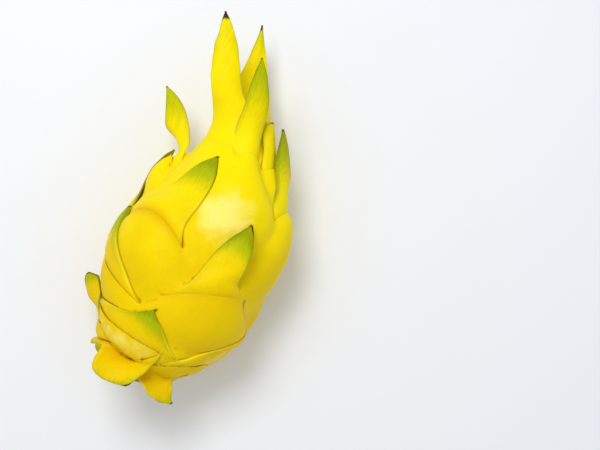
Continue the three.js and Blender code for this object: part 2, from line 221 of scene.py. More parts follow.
scales = [
    {"order": 0, "nudge": 35, "root": 0.058, "padLength": 0.032, "padWidth": 0.034, "rise": 0.0035,
     "crease": 0, "arch": 0.002, "length": 0.065, "width": 0.0125, "spread": 3.0, "point": 5, "lean": -14,
     "sweep": -8, "lift": 34, "curl": -12, "release": 0.5, "twist": 20, "cup": 0.013, "wave": 0.0008,
     "ragged": 0.22, "green": 0.25, "brown": 0.07, "fold": 0, "seam": 0.05},
    {"order": 1, "nudge": -14, "root": 0.054, "padLength": 0.024, "padWidth": 0.024, "rise": 0.0035,
     "crease": 0, "arch": 0.002, "length": 0.023, "width": 0.014, "spread": 1.3, "point": 14, "lift": 6,
     "cup": 0.008, "ragged": 0.2, "green": 0.1, "brown": 0.05, "fold": 0, "seam": 0.05},
    {"order": 2, "root": 0.06, "padLength": 0.026, "padWidth": 0.026, "rise": 0.003, "crease": 0,
     "arch": 0.002, "width": 0.013, "spread": 1.5, "point": 2.2, "lift": 20, "curl": 12, "cup": 0.01,
     "fold": 0.05, "seam": 0.05},
    {"order": 3, "nudge": 20, "root": 0.056, "padLength": 0.058, "rise": 0.006, "margin": -0.0008,
     "crease": 0, "arch": 0.002, "length": 0.046, "width": 0.0148, "spread": 0.85, "point": 3, "lean": -10,
     "sweep": -6, "lift": 31, "curl": -2, "release": 0.6, "cup": 0.013, "green": 0.75, "greenFrom": 0.15,
     "rim": 0.3, "fold": 0, "seam": 0, "bloomAndHighlight": 0.95, "bloomAndHighlightSide": -0.4, "bloomAndHighlightAt": -0.036,
     "bloomAndHighlightReach": 0.0128},
    {"order": 4, "nudge": 52, "root": 0.064, "padLength": 0.026, "padWidth": 0.026, "rise": 0.003,
     "crease": 0, "arch": 0.002, "length": 0.059, "width": 0.048, "spread": 1, "point": 0.62, "lean": -1.5,
     "sweep": 14, "lift": 26, "curl": -8, "cup": 0.018, "wave": 0.0004, "ragged": 0.08, "green": 0.5,
     "greenFrom": 0.6, "brown": 0.05, "fold": 0.05, "seam": 0.05},
    {"order": 5, "nudge": -11, "root": 0.0435, "padLength": 0.025, "padWidth": 0.034, "rise": 0.0078,
     "arch": 0.003, "length": 0.0345, "width": 0.018, "spread": 0.4, "flare": 5, "point": 2.2, "lift": 31,
     "curl": 42, "twist": 76, "cup": 0.016, "green": 0.6, "greenFrom": 0.05},
    {"order": 6, "nudge": 26, "root": 0.035, "padLength": 0.05, "padWidth": 0.052, "rise": 0.006,
     "crease": 0.0016, "length": 0.041, "width": 0.018, "spread": 1.4, "lift": 9, "curl": -4, "twist": -22,
     "cup": 0.014, "green": 0.95, "greenFrom": 0.1, "rim": 0.5, "brown": 0.03, "fold": 0.1, "seam": 0.05},
    {"order": 7, "root": 0.04, "padLength": 0.046, "rise": 0.0046, "fold": 0.1, "seam": 0.05},
    {"order": 8, "nudge": -3.5, "root": 0.0165, "padLength": 0.042, "padWidth": 0.06, "rise": 0.0055,
     "margin": -0.0008, "crease": 0.001, "arch": 0.0095, "slant": 0.003, "length": 0.038, "width": 0.0205,
     "spread": 2.2, "flare": 2.8, "lean": 16, "curl": -14, "cling": 1, "clearance": 0.0007, "cup": 0.025,
     "green": 1.1, "rim": 0.08, "fold": 0.8, "seam": 0.1},
    {"order": 9, "nudge": 15, "root": 0.004, "padLength": 0.042, "lift": -2, "seam": 0.05},
    {"order": 10, "nudge": 14, "root": 0.0145, "padLength": 0.044, "padWidth": 0.046, "length": 0.036,
     "thickness": 0.0012, "lift": -4, "cling": 0.2, "clearance": 0.0004, "green": 0.9, "greenFrom": 0.1,
     "rim": 0.7, "brown": 0, "fold": 0.1, "seam": 0.05},
    {"order": 11, "nudge": 0.5, "root": -0.0115, "padWidth": 0.08, "rise": 0.0055, "margin": 0.0009,
     "crease": 0.0005, "arch": 0.0033, "slant": -0.0047, "step": 2.5, "tilt": 0.0008, "length": 0.036,
     "width": 0.0165, "spread": 2.5, "flare": 7, "point": 4, "lean": 12, "lift": 9, "curl": 4, "cling": 0.5,
     "clingTurn": -0.5, "green": 1.1, "greenFrom": 0.4, "rim": 0.3, "fold": 0.5, "seam": 0.6, "edge": 1},
    {"order": 12, "nudge": 15, "root": -0.004, "length": 0.024, "lift": -4, "seam": 0.05},
    {"order": 13, "nudge": 5, "root": -0.015, "padLength": 0.028, "padWidth": 0.046, "rise": 0.005,
     "margin": 0.001, "arch": 0.002, "slant": 0.011, "length": 0.033, "width": 0.021, "lean": -22,
     "lift": 8, "cling": 0.9, "green": 0.95, "greenFrom": 0.1, "rim": 0.1, "seam": 0.15, "bloomAndHighlight": 0.8,
     "bloomAndHighlightSide": -0.8, "bloomAndHighlightAt": 0.003, "bloomAndHighlightReach": 0.012},
    {"order": 14, "nudge": 52, "root": -0.018, "padLength": 0.034, "padWidth": 0.06, "rise": 0.0035,
     "arch": 0.002, "slant": -0.01, "length": 0.018, "spread": 1.6, "point": 4, "lift": -3, "cling": 0.95,
     "clearance": 0.0008, "green": 0.6, "seam": 0.05},
    {"order": 15, "root": -0.02, "padLength": 0.034, "padWidth": 0.046, "length": 0.022, "lift": -6},
    {"order": 16, "nudge": -3, "root": -0.0405, "padLength": 0.017, "padWidth": 0.06, "rise": 0.0065,
     "margin": 0.003, "crease": 0, "arch": 0.0005, "slant": 0.0105, "length": 0.017, "width": 0.034,
     "spread": 2.5, "flare": 3, "point": 1.2, "lean": 15, "lift": -14, "cling": 0.55, "clingTurn": -0.45,
     "green": 1.1, "greenFrom": 0.05, "rim": 0.05, "brown": 0.03, "fold": 0, "seam": 0.1, "bloomAndHighlight": 0.6,
     "bloomAndHighlightSide": -0.2, "bloomAndHighlightAt": -0.006, "bloomAndHighlightReach": 0.006},
    {"order": 17, "root": -0.03, "padLength": 0.028, "padWidth": 0.046, "length": 0.022},
    {"order": 18, "nudge": 12, "root": -0.041, "padLength": 0.018, "padWidth": 0.036, "arch": 0.002,
     "length": 0.023, "width": 0.019, "spread": 1.4, "point": 7, "lift": 0, "curl": 10, "twist": 42,
     "cup": 0.014, "green": 0.8, "greenFrom": 0.6, "rim": 0.8, "seam": 0.4},
    {"order": 19, "nudge": -16, "root": -0.0605, "padLength": 0.004, "padWidth": 0.028, "rise": 0.0015,
     "arch": 0.001, "length": 0.019, "width": 0.04, "spread": 0.9, "point": 0.85, "lean": 35, "sweep": 25,
     "lift": 62, "curl": 50, "cup": 0.016, "wave": 0.0008, "green": 0.6, "greenFrom": 0.5, "seam": 0.2},
    {"order": 20, "root": -0.046, "padLength": 0.014, "padWidth": 0.034, "rise": 0.003, "length": 0.016,
     "fold": 0, "seam": 0.05, "bloomAndHighlight": 0.5, "bloomAndHighlightAt": -0.004, "bloomAndHighlightReach": 0.012},
    {"order": 21, "nudge": 25, "root": -0.0562, "padLength": 0.006, "padWidth": 0.036, "rise": 0.002,
     "arch": 0.003, "slant": 0.0095, "length": 0.0165, "width": 0.038, "spread": 1.1, "point": 2.6,
     "lean": 33, "lift": 62, "curl": 60, "cup": 0.03, "wave": 0.0006, "green": 0.5, "greenFrom": 0.6,
     "rim": 0.25, "brown": 0.02, "seam": 0.3},
    {"order": 22, "nudge": -31, "root": -0.0455, "padLength": 0.012, "padWidth": 0.03, "rise": 0.0025,
     "crease": 0, "length": 0.024, "width": 0.028, "spread": 1.5, "point": 3, "lean": 30, "lift": 6,
     "cling": 1, "clearance": 0.0006, "green": 0, "rim": 0, "brown": 0, "fold": 0, "seam": 0.05,
     "bloomAndHighlight": 0.5, "bloomAndHighlightAt": 0.006, "bloomAndHighlightReach": 0.014},
    {"order": 23, "root": -0.057, "padLength": 0.004, "padWidth": 0.022, "rise": 0.0015, "length": 0.013,
     "width": 0.022, "spread": 1.2, "point": 3, "lift": 50, "curl": 30, "cup": 0.014},
    {"order": 25, "root": -0.059, "padLength": 0.003, "padWidth": 0.02, "rise": 0.001, "length": 0.012,
     "width": 0.02, "spread": 1.2, "point": 3, "lift": 60, "curl": 20, "cup": 0.012},
    {"order": 26, "nudge": 2, "root": -0.052, "padLength": 0.008, "padWidth": 0.03, "rise": 0.0025,
     "arch": 0.001, "length": 0.0055, "width": 0.024, "spread": 1.1, "point": 6, "lift": 56, "curl": 60,
     "cup": 0.03, "green": 0.6, "brown": 0, "seam": 1},
]


# Half the width of a scale at distance b along it: 0 at the root, negative on the pad.
def halfWidth(s, b):
    share = 1 + b / s["padLength"]
    rounded = np.sqrt(1 - padShape["taper"] * (1 - np.clip(share / padShape["roundedOver"], 0, 1)) ** 2)
    narrowing = (s["width"] * s["spread"] - s["padWidth"]) * ease(share, padShape["narrowsFrom"], 1)
    onPad = 0.5 * rounded * (s["padWidth"] + narrowing)
    q = np.clip(b / s["length"], 0, 1)
    flared = 1 + (s["spread"] - 1) * np.exp(-s["flare"] * q)
    onBlade = np.maximum(margin["width"], 0.5 * s["width"] * flared * (1 - q ** s["point"]))
    return np.where(b <= 0, onPad, onBlade)


# Height of the pad's outer face above the body at distance b and share v of the half width.
def padHeight(s, b, v):
    share = np.maximum(0, 1 + b / s["padLength"])
    swell = np.sin((math.pi / 2) * np.minimum(1, share / padShape["swollenAt"]))
    domed = 1 - np.abs(v) ** padShape["domePower"]
    dome = s["margin"] + (s["rise"] - s["margin"]) * domed + s["tilt"] * v
    crease = s["crease"] * bell(b, joint["creaseReach"])
    buried = padShape["buried"] * (1 - ease(share, 0, padShape["buriedOver"]))
    return dome * swell - crease - buried


# The scale's own line along the body, as level and turn at each distance from its root.
def scaleLine(s, turn, lowest, highest):
    count = joint["lineSamples"]
    line = np.linspace(lowest, highest, count)
    start = int(np.argmin(np.abs(line)))
    levels, turns = np.empty(count), np.empty(count)
    levels[start], turns[start] = s["root"] + line[start], turn
    lean = math.radians(s["lean"])
    for way in (1, -1):
        for i in range(start, count - 1 if way > 0 else 0, way):
            step = line[i + way] - line[i]
            sideways = math.sin(lean) * (joint["padLean"] if way < 0 else 1)
            level = levels[i] + step * math.cos(float(bodySlope(levels[i]))) * math.cos(lean)
            levels[i + way] = min(max(level, body["stemHollow"]["lip"]), crownLip)
            radius = max(float(bodyRadius(levels[i])), joint["leastRadius"])
            turns[i + way] = turns[i] + step * sideways / radius
    return line, levels, turns


def scaleTurn(s):
    return math.radians(spiral["start"] + s["order"] * spiral["step"] + s["nudge"])


# The whitening of a pad, partly its waxy bloom and partly a painted highlight on its swell.
def bloomAndHighlightOf(s, b, v):
    across = 1 - np.clip(marks["bloomAndHighlightNarrow"] * (v - s["bloomAndHighlightSide"]), -1, 1) ** 2
    return s["bloomAndHighlight"] * bell(b - s["bloomAndHighlightAt"], s["bloomAndHighlightReach"]) * across


# The painted shade in the fold under a blade's root.
def foldShadeOf(s, b, v):
    return s["fold"] * bell(b - marks["foldAt"], marks["foldReach"]) * (1 - np.clip(v, -1, 1) ** 4)


# Each pad's own line, cut where it meets the end of the body.
def padLine(s):
    spare = joint["lineSpare"]
    line, levels, turns = scaleLine(s, scaleTurn(s), -s["padLength"] - spare, joint["padFall"] + spare)
    grown = np.concatenate([[True], np.diff(levels) > 1e-7])
    return s, line[grown], levels[grown], turns[grown]


padLines = [padLine({**plainScale, **plan}) for plan in scales]


# Height of all the pads together at each level and turn, with their bloom and its painted highlight, how near
# a seam between two of them is, with its partly painted shade and the painted shadow line at a pad's edge,
# and where a root melts, with the painted shade in the fold under it.
def padRelief(level, turn):
    radius = np.maximum(bodyRadius(level), joint["leastRadius"])
    count = len(level)
    heights = np.full((len(padLines) + 1, count), -1.0)
    bloomAndHighlights, seams = np.zeros_like(heights), np.zeros_like(heights)
    heights[0] = 0
    melt, fold, edge = np.zeros(count), np.zeros(count), np.zeros(count)
    for row, (s, line, levels, turns) in enumerate(padLines, 1):
        near = np.flatnonzero((level > levels[0]) & (level < levels[-1]))
        dropped = np.interp(level[near], levels, line)
        away = turn[near] - np.interp(level[near], levels, turns)
        away = ((away + math.pi) % (2 * math.pi) - math.pi) * radius[near]
        b = dropped
        for _ in range(6):      # b and v depend on each other
            half = halfWidth(s, np.clip(b, -s["padLength"], 0))
            v = np.clip(away / half, -joint["widestShare"], joint["widestShare"])
            b = 0.5 * b + 0.5 * (dropped + s["arch"] * v * v + s["slant"] * v)
        fallen = np.maximum(b, 0)
        height = padHeight(s, np.minimum(b, 0), v) - joint["fallSlope"] * fallen
        height -= (s["rise"] + joint["fallDepth"]) * (fallen / joint["padFall"]) ** 2
        wall = s["step"] * np.maximum(np.abs(v) - 1, 0) * half
        out = (b < -s["padLength"]) | (b > joint["padFall"])
        heights[row, near] = np.where(out, -1, height - wall)
        bloomAndHighlights[row, near] = bloomAndHighlightOf(s, b, v)
        seams[row, near] = s["seam"]
        onScale = (np.abs(v) < marks["scaleShare"]) & ~out
        along = ease(b, *(share * s["padLength"] for share in marks["edgeAlong"])) * (b < 0)
        # a painted shadow line at the foot of the pad's edge
        edged = s["edge"] * along * bell((v - marks["edgeAt"]) * half, marks["edgeReach"])
        edge[near] = np.maximum(edge[near], edged)
        melt[near] = np.maximum(melt[near], onScale * bell(b, marks["meltReach"]))
        # painted shade in the fold under each root
        fold[near] = np.maximum(fold[near], onScale * foldShadeOf(s, b, v))
    blend = joint["blend"]
    top = heights.max(axis=0)
    raised = top + blend * np.log(np.exp((heights - top) / blend).sum(axis=0))
    ranks = np.argsort(heights, axis=0)[-2:]
    second, first = np.take_along_axis(heights, ranks, axis=0)
    # the seams' dark lines, partly their own colour and partly painted shade
    seam = np.take_along_axis(seams, ranks, axis=0).max(axis=0)
    seam = seam * bell(first - second, marks["seamReach"]) * (first > marks["seamFloor"]) * (1 - melt)
    return {
        "height": np.maximum(raised, joint["lowest"]), "seam": np.maximum(seam, edge),
        "bloomAndHighlight": np.take_along_axis(bloomAndHighlights, ranks, axis=0)[1], "melt": melt, "fold": fold,
    }


# A wavering value along a margin, from -1 to 1.
def waver(distance, seed, pitch):
    return np.array([noise.noise(Vector((d / pitch, seed * 3.7, 0.5))) for d in distance])


# Vectors turned about axes, each by its own angle.
def turned(vector, axis, angle):
    return (vector * np.cos(angle)[:, None] + np.cross(axis, vector) * np.sin(angle)[:, None]
            + axis * (np.sum(axis * vector, axis=-1) * (1 - np.cos(angle)))[:, None])


# Straight towards the body's own line.
def inwards(points):
    across = points - [0, 0, body["height"]]
    across[:, 0] -= bodySway(points[:, 1])
    across[:, 1] = 0
    return -across / np.maximum(np.linalg.norm(across, axis=1), 1e-6)[:, None]


# How a blade is kept out of its neighbours' pads: softly over its first part, and not past the crown's lip.
clearing = {"soft": 0.0005, "softOver": 0.2, "rounds": 2, "fade": (-0.006, 0.002), "gapOver": (0.05, 0.45)}


# The points of a blade, moved out where a neighbour's pad would cover them.
def clearOfPads(points, clearance, q, free):
    side = points[:, 0] - bodySway(points[:, 1])
    up = (points[:, 2] - body["height"]) / body["flatness"]
    turn = np.arctan2(side, up)
    radius = np.hypot(side, up)
    level = points[:, 1]
    for _ in range(clearing["rounds"]):
        raised = padRelief(level, turn)["height"] + clearance
        slope = bodySlope(level)
        level = points[:, 1] + raised * np.sin(slope)
    least = bodyRadius(level) + raised * np.cos(slope)
    soft = clearing["soft"] * ease(q, 0, clearing["softOver"]) + 1e-7
    clear = least + soft * np.logaddexp(0, (radius - least) / soft)
    fadeFrom, fadeTo = clearing["fade"]
    share = (1 - ease(points[:, 1], crownLip + fadeFrom, crownLip + fadeTo)) * free
    return roundAxis(points[:, 1], turn, radius + (clear - radius) * share)


def thicknessOf(s, q, v):
    thinned = s["thickness"] * (1 - margin["thinner"] * v * v) * (1 - margin["thinnerTip"] * q)
    return np.maximum(margin["thickness"], thinned)


# The blade's line in the air: it leaves the root by lift, and bends by curl and sweep.
def lineInAir(s, turn):
    out = np.array([math.sin(turn), 0, math.cos(turn)])
    along = np.array([0.0, 1.0, 0.0])
    reach = np.linspace(-0.05, s["length"], joint["lineSamples"])
    share = np.clip(reach / s["length"], 0, 1)
    angle = float(bodySlope(s["root"])) + np.radians(s["lift"] + s["curl"] * share)
    normals = np.cos(angle)[:, None] * out - np.sin(angle)[:, None] * along
    headings = np.cos(angle)[:, None] * along + np.sin(angle)[:, None] * out
    headings = turned(headings, normals, -math.radians(s["lean"]) - math.radians(s["sweep"]) * share)
    path = np.cumsum(headings * (reach[1] - reach[0]), axis=0)
    path -= np.array([np.interp(0, reach, path[:, k]) for k in range(3)])
    path += onBody(np.array(s["root"]), turn, s["rise"] - s["crease"])
    return reach, path, headings, normals


# How a blade takes its form along its length, each as the shares of it where a change begins and ends.
blading = {
    "cell": 0.00125, "straightened": 0.7, "twistOver": (0.05, 0.5), "cupOver": 0.5, "leastCup": 0.010,
    "droopOver": 0.5, "waveOver": (0.1, 0.4), "waves": 21, "waveSlant": 2, "raggedOver": (0.1, 0.5),
    "raggedPitch": 0.006, "clingOver": (0.1, 0.45), "sunkOver": 0.25, "gripFrom": (0.75, 0.95),
}


def growBlade(plan):
    s = {**plainScale, **plan}
    turn = scaleTurn(s)
    root = min(joint["rootDepth"], s["padLength"])
    total = root + s["length"]
    rows = round(total / blading["cell"])
    columns = round(s["width"] * s["spread"] / blading["cell"])
    blade, v, share, inner = newSlab(columns, rows)
    b = -root + total * share
    q = np.clip(b / s["length"], 0, 1)
    ragged = s["ragged"] * waver(b + 0.1 * np.sign(v), s["order"], blading["raggedPitch"])
    half = halfWidth(s, b) * (1 + ragged * np.abs(v) * ease(q, *blading["raggedOver"]))
    gap = s["clearance"] * ease(q, *clearing["gapOver"])

    # on the pads: the face follows the relief, past the crease, and clings to what is beneath it
    arched = (s["arch"] * v * v + s["slant"] * v) * (1 - ease(q, 0, blading["straightened"]))
    line, levels, turns = scaleLine(s, turn, (b - arched).min() - 0.001, (b - arched).max() + 0.001)

    def onPads(dropped):
        y = np.interp(dropped, line, levels)
        spread = np.clip(v * half / np.maximum(bodyRadius(y), joint["leastRadius"]), -1.3, 1.3)
        return y, np.interp(dropped, line, turns) + spread
    y, around = onPads(b - arched)
    height = padRelief(*onPads(np.minimum(b, 0) - arched))["height"] - joint["sinkSlope"] * np.maximum(-b, 0)
    height += s["crease"] * (1 - bell(np.maximum(b, 0), joint["creaseReach"]))
    cling = np.clip(s["cling"] + s["clingTurn"] * v, 0, 1)
    if s["cling"] > 0:
        beneath = padRelief(y, around)["height"] + gap
        clung = np.maximum(beneath, height + (beneath - height) * ease(q, *blading["clingOver"]))
        height = height + (clung - height) * (b > 0)
    kept = onBody(y, around, height)

    # in the air: a cupped, twisted and waved face round the blade's own line
    reach, path, headings, normals = lineInAir(s, turn)

    def sample(table):
        return np.stack([np.interp(b, reach, table[:, k]) for k in range(3)], axis=-1)
    at, heading, normal = sample(path), sample(headings), sample(normals)
    normal = turned(normal, heading, np.radians(s["twist"]) * ease(q, *blading["twistOver"]))
    side = np.cross(heading, normal)
    side /= np.linalg.norm(side, axis=1)[:, None]
    bodyCup = max(float(bodyRadius(s["root"])), blading["leastCup"])
    radius = bodyCup + (s["cup"] - bodyCup) * ease(q, 0, blading["cupOver"])
    bent = v * half / radius
    droop = (s["rise"] - s["margin"]) * np.abs(v) ** padShape["domePower"]
    droop = droop * (1 - ease(q, 0, blading["droopOver"]))
    ripple = np.sin(blading["waves"] * q + blading["waveSlant"] * v + s["order"])
    wave = s["wave"] * v * v * ripple * ease(q, *blading["waveOver"])
    thickness = thicknessOf(s, q, v)
    lowered = radius * (np.cos(bent) - 1) - droop + s["tilt"] * v + wave
    freed = (at - heading * arched[:, None] + side * (radius * np.sin(bent))[:, None]
             + normal * lowered[:, None])

    # from the one to the other, and an inner face below it
    released = ((1 - cling) * ease(q, 0, s["release"]))[:, None]
    face = clearOfPads(kept * (1 - released) + freed * released, gap, q, b > 0)
    depth = np.maximum(thickness, joint["padSink"] * (1 - ease(q, 0, blading["sunkOver"])))
    depth = np.maximum(depth, (s["clearance"] + margin["grip"]) * ease(cling, *blading["gripFrom"]))
    early = ((1 - cling) * ease(q, 0, s["release"] / 2))[:, None]
    back = face + inwards(face) * depth[:, None] * (1 - early) - normal * thickness[:, None] * early
    back[b <= 0] = onBody(y, around, -joint["padSink"])[b <= 0]
    movePoints(blade, np.where(inner[:, None], back, face))
    paintBlade(blade, s, b, v, inner, cling)
    return blade


def paintBlade(blade, s, b, v, inner, cling):
    q = np.clip(b / s["length"], 0, 1)
    width = np.abs(v)
    green = s["green"] * ease(q, s["greenFrom"], 1) + s["rim"] * ease(width, 0.55, 1) * ease(q, 0.03, 0.3)
    brown = ease(q, 1 - s["brown"] * 1.4, 1 - s["brown"] * 0.5) if s["brown"] else 0
    clung = 0.6 * ease(cling, 0.7, 1) * (1 - ease(q, 0.4, 0.9))
    paint(blade, "growth", q, width * (q > 0))
    # tint holds the green, the dry brown and the bloom with its painted highlight
    paint(blade, "tint", np.clip(green, 0, 1), brown, bloomAndHighlightOf(s, b, v))
    # seam holds the rim's tint and the painted shade in the fold under the root
    paint(blade, "seam", 0, s["rim"], foldShadeOf(s, b, v) * ~inner)
    paint(blade, "melt", np.maximum(1 - ease(b, 0.002, 0.008), clung))


def growBody():
    stem, crown = body["stemHollow"], body["crownHollow"]
    stemStart = math.asin((stem["lip"] - body["widest"]) / body["stemLength"])
    levels = np.concatenate([
        body["widest"] + body["stemLength"] * np.sin(np.linspace(stemStart, 0, body["stemLevels"])),
        np.linspace(body["widest"], crownLip, body["crownLevels"])[1:],
    ])
    profile = np.array(
        [(0, stem["floor"]), (stem["radius"], stem["floor"])]
        + [(float(bodyRadius(y)), y) for y in levels]
        + [((body["neck"] + crown["radius"]) / 2, crownLip + crown["rim"]), (crown["radius"], crownLip),
           (crown["radius"] * crown["waist"], (crownLip + crown["floor"]) / 2), (0, crown["floor"])])
    steps = np.hypot(*np.diff(profile, axis=0).T)
    reach = np.concatenate([[0], np.cumsum(steps)]) / steps.sum()
    first, last = reach[[2, len(levels) + 1]]

    bpy.ops.mesh.primitive_uv_sphere_add(segments=body["segments"], ring_count=body["rings"], radius=1)
    ball = bpy.context.object
    points = pointsOf(ball)
    share = np.arccos(np.clip(-points[:, 2], -1, 1)) / math.pi
    turn = np.arctan2(points[:, 0], points[:, 1])
    radius = np.interp(share, reach, profile[:, 0])
    level = np.interp(share, reach, profile[:, 1])
    shell = (share >= first) & (share <= last)
    relief = padRelief(level, turn)
    fade = body["reliefFade"]
    raised = relief["height"] * ease(share, first, first + fade) * (1 - ease(share, last - fade, last))
    movePoints(ball, np.where(shell[:, None], onBody(level, turn, raised), roundAxis(level, turn, radius)))
    paint(ball, "growth", 0, 0)
    # the bloom with its painted highlight, and the seams and folds with their painted shade
    paint(ball, "tint", 0, 0, relief["bloomAndHighlight"])
    paint(ball, "seam", relief["seam"], 0, relief["fold"])
    paint(ball, "melt", relief["melt"])
    return ball


# How the body and its blades become one skin: rounds of smoothing all over and where a root melts into its
# pad, and of passing paint on to what the union made.
skin = {"smoothing": 2, "meltSmoothing": 24, "meltSteps": 10, "paintRounds": 12}


# The vertices that the union made take the paint of their neighbours.
def paintSeams(rind):
    edges = np.empty(len(rind.data.edges) * 2, dtype=int)
    rind.data.edges.foreach_get("vertices", edges)
    first, second = np.concatenate([edges.reshape(-1, 2), edges.reshape(-1, 2)[:, ::-1]]).T
    for attribute in rind.data.color_attributes:
        colours = np.empty(len(rind.data.vertices) * 4)
        attribute.data.foreach_get("color", colours)
        colours = colours.reshape(-1, 4)
        known = colours[:, 3] < painted + 0.01
        for _ in range(skin["paintRounds"]):
            total, count = np.zeros_like(colours), np.zeros(len(colours))
            np.add.at(total, first[known[second]], colours[second[known[second]]])
            np.add.at(count, first[known[second]], 1)
            filled = ~known & (count > 0)
            colours[filled] = total[filled] / count[filled][:, None]
            known |= filled
        attribute.data.foreach_set("color", colours.ravel())


# The blades' roots flow into the pads.
def meltCreases(rind):
    layer = np.empty(len(rind.data.vertices) * 4)
    rind.data.color_attributes["melt"].data.foreach_get("color", layer)
    steps = skin["meltSteps"]
    share = np.round(np.clip(layer[::4], 0, 1) * steps).astype(int)
    group = rind.vertex_groups.new(name="melt")
    for step in range(1, steps + 1):
        group.add(np.flatnonzero(share == step).tolist(), step / steps, "REPLACE")
    applyModifier(rind, "SMOOTH", factor=0.5, iterations=skin["meltSmoothing"], vertex_group="melt")
    rind.vertex_groups.clear()


# Joins closed shells to a piece, as one skin of triangles.
def unite(piece, shells):
    group = bpy.data.collections.new("shells")
    bpy.context.scene.collection.children.link(group)
    for shell in shells:
        faceOutwards(shell)
        group.objects.link(shell)
    applyModifier(piece, "BOOLEAN", operation="UNION", solver="MANIFOLD", operand_type="COLLECTION",
                  collection=group)
    for shell in shells:
        bpy.data.objects.remove(shell)
    bpy.data.collections.remove(group)
    editAll(piece)
    bpy.ops.mesh.quads_convert_to_tris()
    bpy.ops.object.mode_set(mode="OBJECT")
    paintSeams(piece)


def growRind():
    rind = growBody()
    rind.name = rind.data.name = "rind"
    blades = [growBlade(plan) for plan in scales]
    print("scales grown:", len(blades))
    unite(rind, blades)
    print("scales joined:", len(rind.data.polygons), "faces")
    meltCreases(rind)
    applyModifier(rind, "SMOOTH", factor=0.5, iterations=skin["smoothing"])
    editAll(rind)
    bpy.ops.mesh.bisect(plane_co=(0, 0, 0), plane_no=(0, 0, 1), use_fill=True, clear_inner=True,
                        threshold=1e-6)
    bpy.ops.mesh.select_all(action="SELECT")
    bpy.ops.mesh.quads_convert_to_tris()
    bpy.ops.object.mode_set(mode="OBJECT")
    shadeSmooth(rind)
    return rind


def newMaterial(name):
    material = bpy.data.materials.new(name)
    material.use_nodes = True
    tree = material.node_tree
    return material, tree, tree.nodes["Principled BSDF"]


def addNode(tree, kind, **settings):
    node = tree.nodes.new(kind)
    for name, value in settings.items():
        setattr(node, name, value)
    return node


def setInputs(node, **values):
    for name, value in values.items():
        node.inputs[name.replace("_", " ")].default_value = value


def link(tree, source, target):
    tree.links.new(source, target)


# A socket takes a number, a colour or what comes out of another node.
def feed(tree, socket, value):
    if isinstance(value, (int, float)):
        socket.default_value = value
    elif isinstance(value, tuple):
        socket.default_value = (*value, 1)
    else:
        link(tree, value, socket)


# A value run through a smooth step from low to high, or to other ends.
def stepped(tree, value, low, high, bottom=0.0, top=1.0):
    node = addNode(tree, "ShaderNodeMapRange", interpolation_type="SMOOTHSTEP")
    link(tree, value, node.inputs["Value"])
    for name, end in (("From Min", low), ("From Max", high), ("To Min", bottom), ("To Max", top)):
        feed(tree, node.inputs[name], end)
    return node.outputs["Result"]


def worked(tree, operation, first, second):
    node = addNode(tree, "ShaderNodeMath", operation=operation, use_clamp=operation in ("ADD", "MULTIPLY"))
    feed(tree, node.inputs[0], first)
    feed(tree, node.inputs[1], second)
    return node.outputs["Value"]


def product(tree, first, second):
    return worked(tree, "MULTIPLY", first, second)


def mixed(tree, share, under, over, how="MIX"):
    node = addNode(tree, "ShaderNodeMix", data_type="RGBA", blend_type=how)
    for socket, value in ((node.inputs["Factor"], share), (node.inputs[6], under), (node.inputs[7], over)):
        feed(tree, socket, value)
    return node.outputs[2]


def bumped(tree, height, strength, distance, **settings):
    node = addNode(tree, "ShaderNodeBump", **settings)
    setInputs(node, Strength=strength, Distance=distance)
    link(tree, height, node.inputs["Height"])
    return node


# The look's roughness, a little more or less by a value.
def unevenly(tree, value, look):
    least, most = look["roughness"] - look["uneven"], look["roughness"] + look["uneven"]
    return stepped(tree, value, 0.0, 1.0, least, most)


def channels(tree, layer):
    attribute = addNode(tree, "ShaderNodeAttribute", attribute_name=layer)
    split = addNode(tree, "ShaderNodeSeparateColor")
    link(tree, attribute.outputs["Color"], split.inputs["Color"])
    return split.outputs["Red"], split.outputs["Green"], split.outputs["Blue"]


# A group's inputs are a place and numbers, and it puts out one value.
def newGroup(name, output, **numbers):
    group = bpy.data.node_groups.new(name, "ShaderNodeTree")
    group.interface.new_socket(name="Place", in_out="INPUT", socket_type="NodeSocketVector")
    for label, value in numbers.items():
        socket = group.interface.new_socket(name=label, in_out="INPUT", socket_type="NodeSocketFloat")
        socket.default_value = value
    group.interface.new_socket(name=output, in_out="OUTPUT", socket_type="NodeSocketFloat")
    return group, group.nodes.new("NodeGroupInput").outputs, group.nodes.new("NodeGroupOutput").inputs[output]


def useGroup(tree, group, place, **values):
    node = addNode(tree, "ShaderNodeGroup", node_tree=group)
    link(tree, place, node.inputs["Place"])
    setInputs(node, **values)
    return node.outputs[0]


# Noise at a place, with its scale as a number or from another node.
def noisy(tree, place, scale, **values):
    node = addNode(tree, "ShaderNodeTexNoise")
    link(tree, place, node.inputs["Vector"])
    feed(tree, node.inputs["Scale"], scale)
    setInputs(node, **values)
    return node.outputs["Fac"]


# Soft patches of lighter and darker skin, a broad and a fine pattern together.
def makePatches():
    group, start, end = newGroup("patches", "Patches", Broad=40.0, Fine=300.0, Sharpness=0.2)
    broad = noisy(group, start["Place"], start["Broad"], Detail=3.0, Roughness=0.55)
    fine = noisy(group, start["Place"], start["Fine"], Detail=4.0, Roughness=0.6)
    both = worked(group, "ADD", product(group, broad, 0.75), product(group, fine, 0.25))
    low = worked(group, "SUBTRACT", 0.5, start["Sharpness"])
    high = worked(group, "ADD", 0.5, start["Sharpness"])
    link(group, stepped(group, both, low, high), end)
    return group


